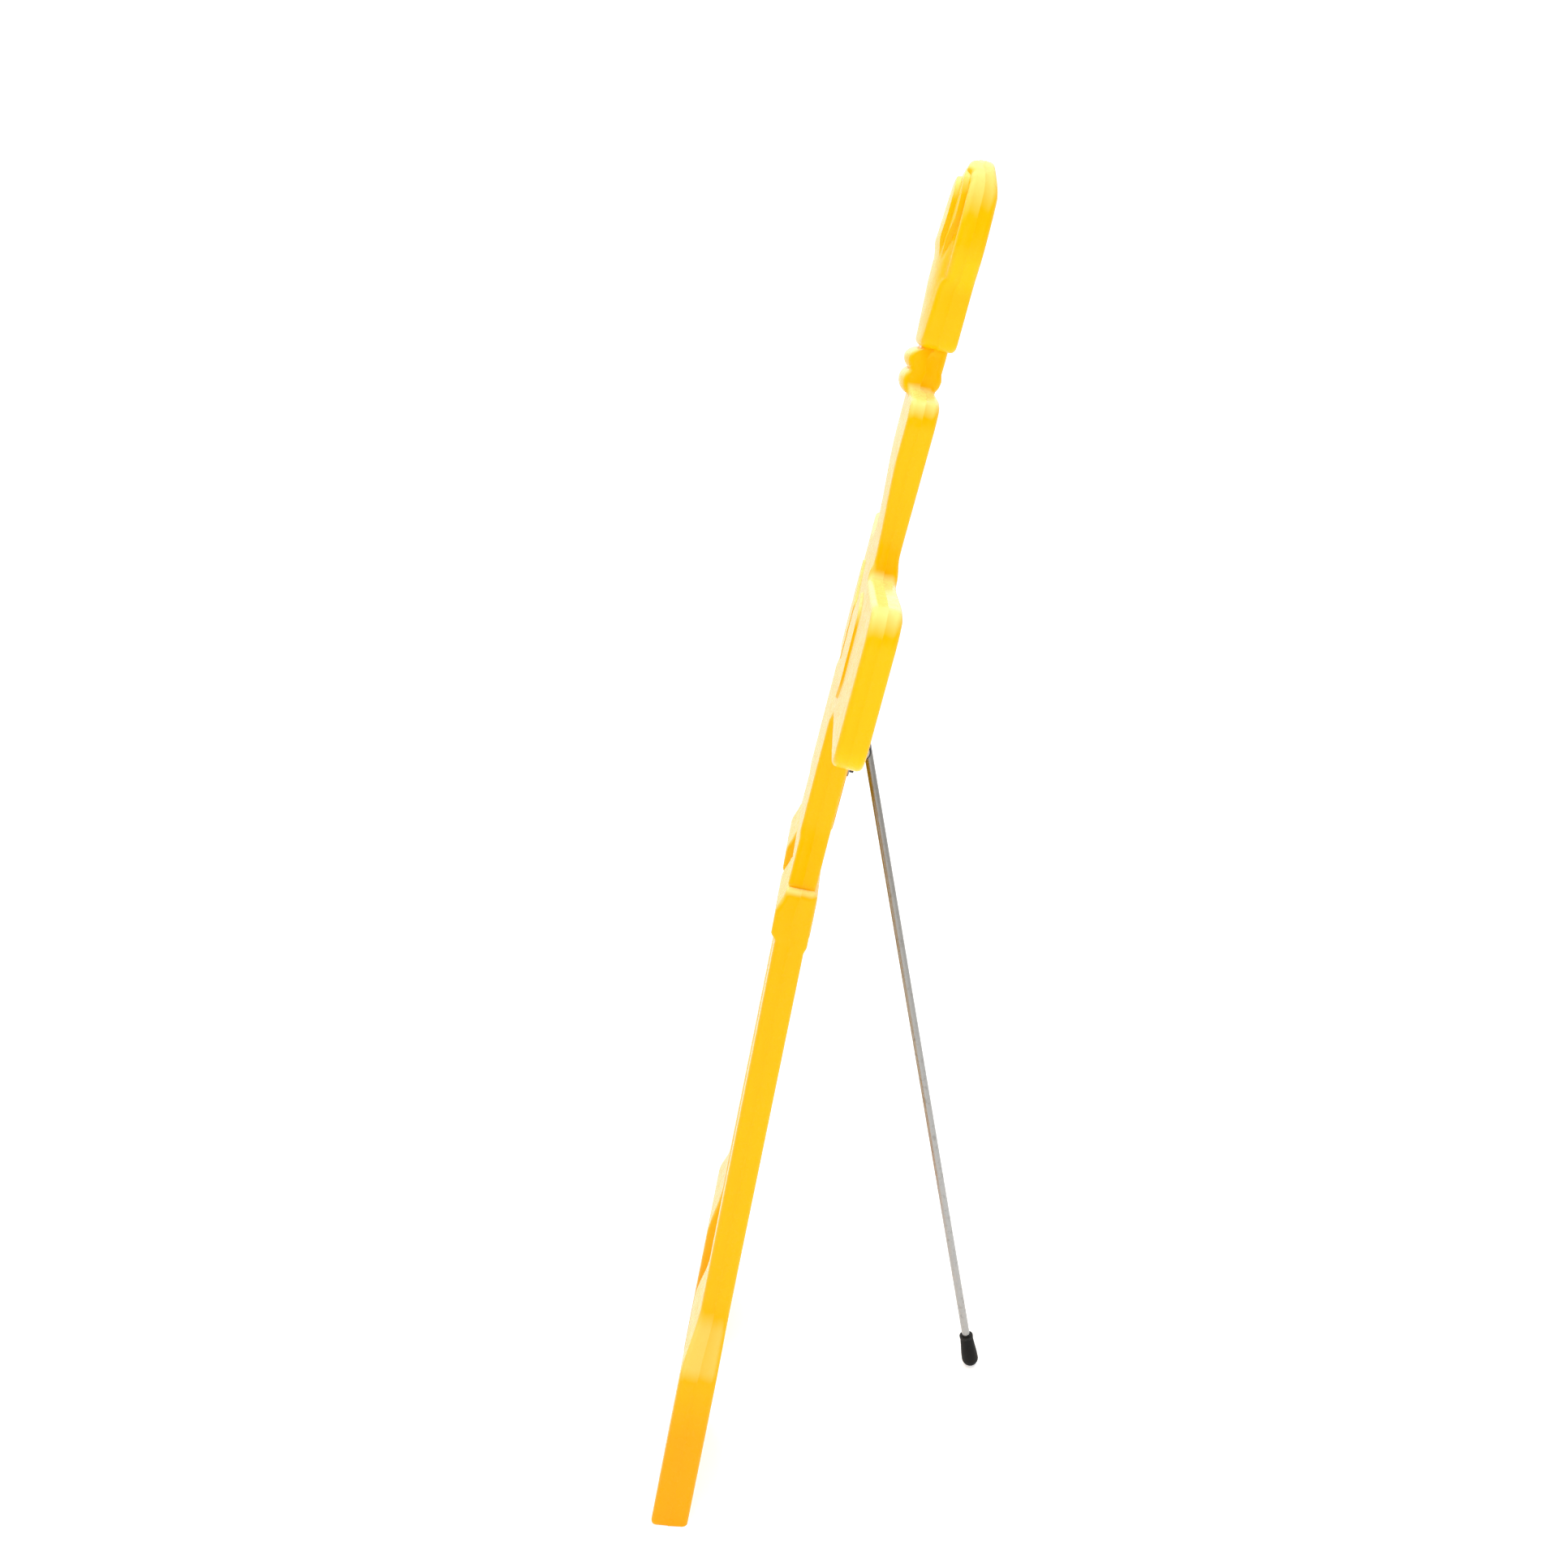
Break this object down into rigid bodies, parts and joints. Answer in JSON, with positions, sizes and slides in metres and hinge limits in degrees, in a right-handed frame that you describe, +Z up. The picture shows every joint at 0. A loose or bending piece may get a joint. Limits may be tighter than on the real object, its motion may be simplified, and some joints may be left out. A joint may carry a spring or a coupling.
{
  "type": "leaning training figure",
  "caption": "Flat hollow plastic figure of a standing player with folded arms, which leans back on a folding steel rod strut with a rubber tip.",
  "frame": {"origin": "on the ground, in the middle of the object's bounding box in X and Y", "axes": "+X to the figure's left side, -Y the way the figure faces, +Z up"},
  "size_m": [0.7402, 0.4202, 1.5813],
  "materials": {
    "yellow_plastic": "glossy blow-moulded polyethylene",
    "zinc_steel": "bright zinc plate",
    "saddle_plastic": "matt moulded nylon",
    "nylon": "natural nylon",
    "brass_insert": "turned brass",
    "black_rubber": "satin moulded rubber"
  },
  "bodies": {
    "figure": {"head_moulding": "yellow_plastic", "torso_moulding": "yellow_plastic", "left_leg_moulding": "yellow_plastic", "right_leg_moulding": "yellow_plastic", "neck_bolts": "zinc_steel", "neck_washers": "zinc_steel", "neck_inserts": "brass_insert", "hip_bolts": "zinc_steel", "hip_washers": "zinc_steel", "hip_nuts": "zinc_steel", "hip_spacers": "zinc_steel", "strut_bracket": "zinc_steel", "left_saddle": "saddle_plastic", "right_saddle": "saddle_plastic", "bracket_screws": "zinc_steel", "bracket_inserts": "brass_insert", "stop_pad": "black_rubber", "blow_hole_plugs": "yellow_plastic"},
    "strut": {"strut_rod": "zinc_steel", "pivot_washers": "nylon", "strut_tip": "black_rubber"}
  },
  "joints": [
    {"name": "strut_fold", "type": "hinge", "parent": "figure", "child": "strut", "pos_m": [0, 0.03404, 0.93415], "axis": [-1, 0, 0], "range_deg": [0, 21.3]}
  ]
}
